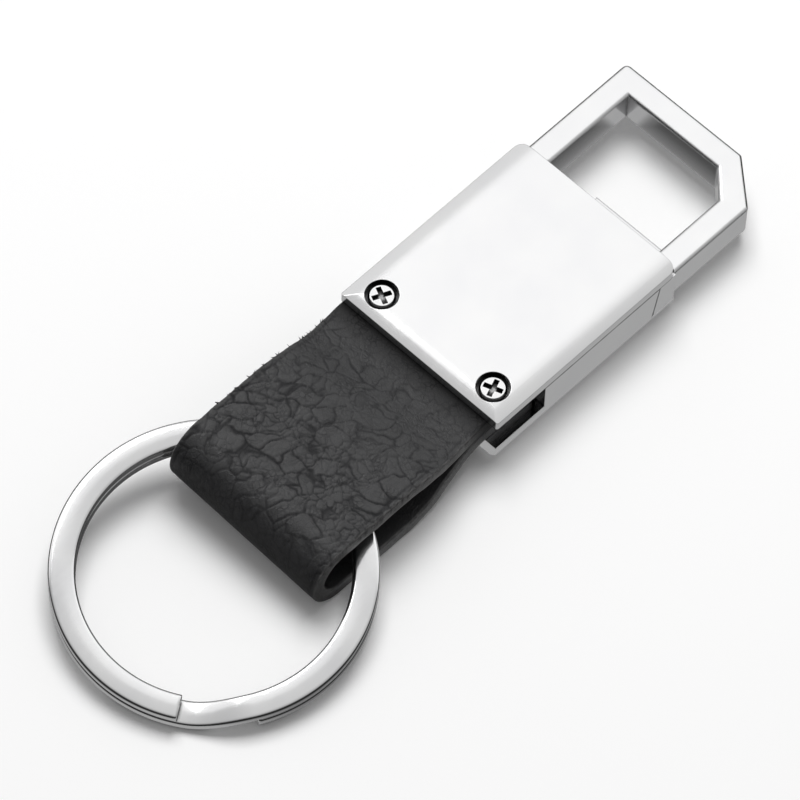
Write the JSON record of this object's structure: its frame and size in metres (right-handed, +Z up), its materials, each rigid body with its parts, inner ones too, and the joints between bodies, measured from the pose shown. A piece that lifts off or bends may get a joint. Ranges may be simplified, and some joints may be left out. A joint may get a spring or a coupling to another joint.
{
  "type": "belt key clip",
  "caption": "Pull-and-turn belt key clip: a plated housing with a sprung square-bar hook at one end and a folded leather strap carrying a split key ring at the other.",
  "frame": {"origin": "centre of the front plate's outer face, which the clip lies on", "axes": "+X towards the hook, +Z up through the screwed back cover, hook's long leg on the -Y side"},
  "size_m": [0.0892, 0.033, 0.0092],
  "materials": {
    "plated": "polished nickel plating",
    "steel": "plain drawn steel",
    "leather": "black grained leather, waxed edges"
  },
  "bodies": {
    "housing": {"front_shell": "plated", "back_cover": "plated", "cover_screws": "plated", "mouth_block": "plated", "strap": "leather", "return_spring": "steel"},
    "slider": {"spring_washer": "steel"},
    "hook": {"hook": "plated", "swivel_rod": "steel", "cross_pin": "steel", "retaining_clip": "steel"},
    "ring": {"split_ring": "plated"}
  },
  "joints": [
    {"name": "hook_pull", "type": "slide", "parent": "housing", "child": "slider", "axis": [1, 0, 0], "range_m": [0, 0.005], "stiffness_N_per_m": 600, "springref_m": -0.003, "deforming": ["return_spring"]},
    {"name": "hook_swivel", "type": "hinge", "parent": "slider", "child": "hook", "pos_m": [0.0132, -0.0015, 0.0037], "axis": [1, 0, 0], "continuous": true},
    {"name": "ring_swing", "type": "hinge", "parent": "housing", "child": "ring", "pos_m": [-0.0315, -0.0005, 0.0046], "axis": [0, 0.9968, 0.0802], "range_deg": [-4, 11]}
  ]
}
